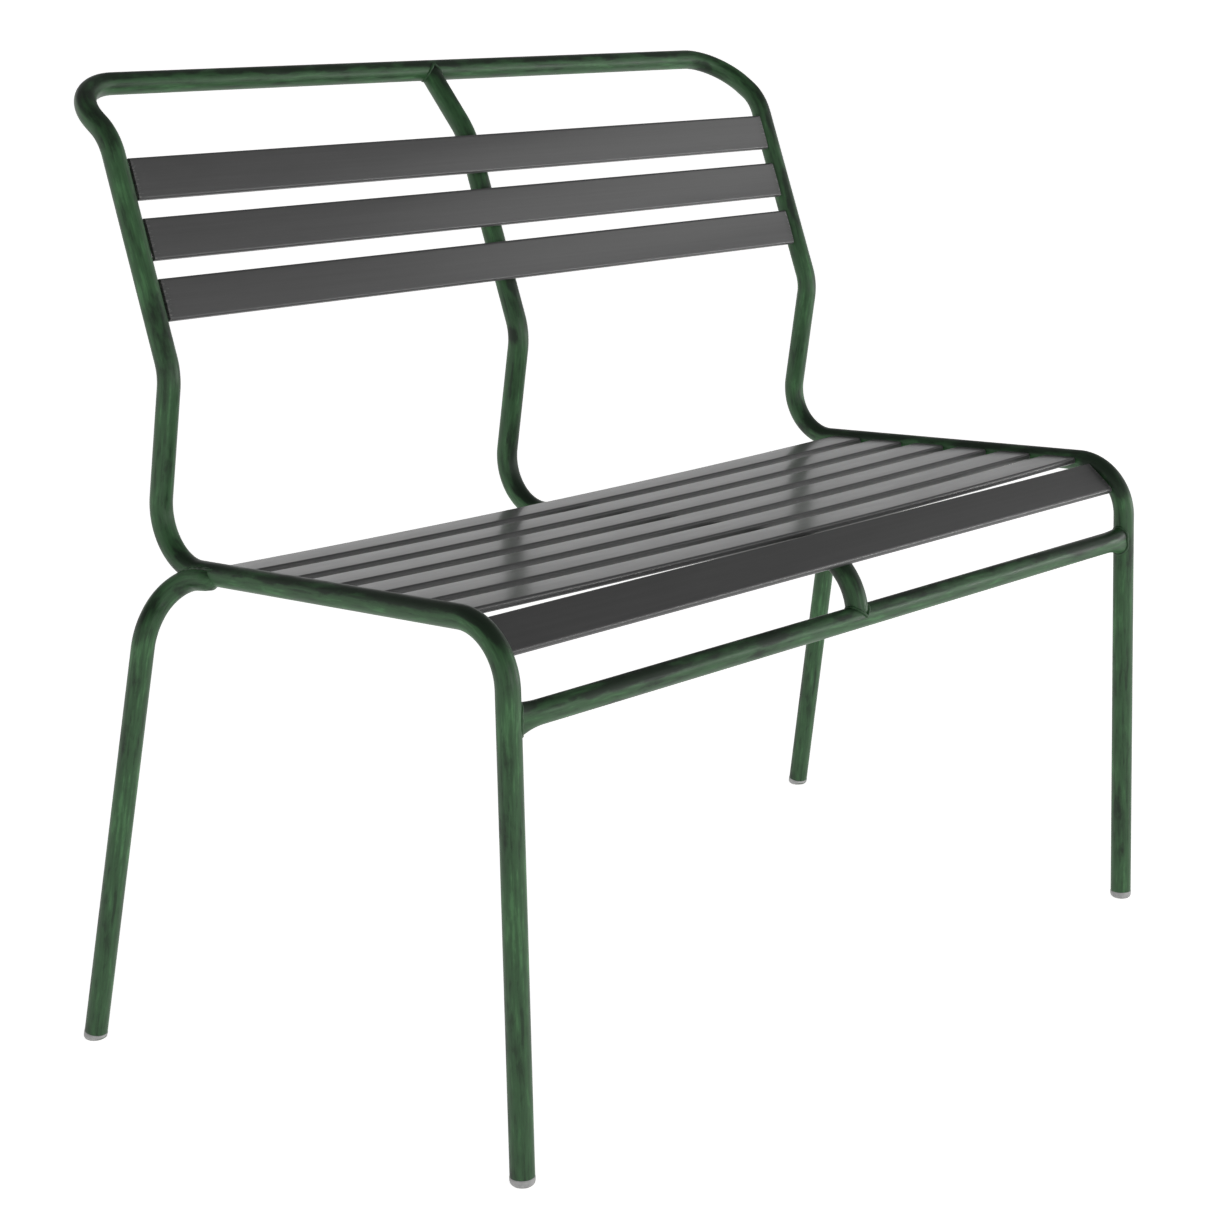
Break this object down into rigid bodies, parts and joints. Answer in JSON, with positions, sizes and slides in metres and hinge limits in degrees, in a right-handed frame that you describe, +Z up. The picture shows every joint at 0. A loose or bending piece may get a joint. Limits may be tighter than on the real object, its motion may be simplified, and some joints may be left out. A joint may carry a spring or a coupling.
{
  "type": "garden bench",
  "caption": "Garden bench with a back: bent round-tube frame with long shaped slats for seat and back.",
  "frame": {"origin": "on the floor, under the middle of the bench's bounding box", "axes": "+X along the bench to the sitter's left, -Y towards the sitter's side (front), +Z up"},
  "size_m": [0.9972, 0.5708, 0.8345],
  "materials": {
    "frame_paint": "dark green paint with a brushed, mottled look, satin",
    "slat_plastic": "anthracite grey glass-fibre plastic, semi-gloss",
    "foot_plastic": "light grey moulded plastic",
    "screw_steel": "plain stainless screws"
  },
  "bodies": {
    "root": {"side_tube_left": "frame_paint", "side_tube_right": "frame_paint", "top_rail": "frame_paint", "centre_rib": "frame_paint", "rear_leg_left": "frame_paint", "rear_leg_right": "frame_paint", "front_crossbar": "frame_paint", "slat_lugs_left": "frame_paint", "slat_lugs_right": "frame_paint", "slat_brackets_centre": "frame_paint", "weld_fillets": "frame_paint", "front_slat": "slat_plastic", "seat_slat_1": "slat_plastic", "seat_slat_2": "slat_plastic", "seat_slat_3": "slat_plastic", "seat_slat_4": "slat_plastic", "seat_slat_5": "slat_plastic", "seat_slat_6": "slat_plastic", "back_slat_1": "slat_plastic", "back_slat_2": "slat_plastic", "back_slat_3": "slat_plastic", "foot_cap_front_left": "foot_plastic", "foot_cap_front_right": "foot_plastic", "foot_cap_rear_left": "foot_plastic", "foot_cap_rear_right": "foot_plastic", "screws_left": "screw_steel", "screws_right": "screw_steel", "screws_centre": "screw_steel"}
  },
  "joints": []
}
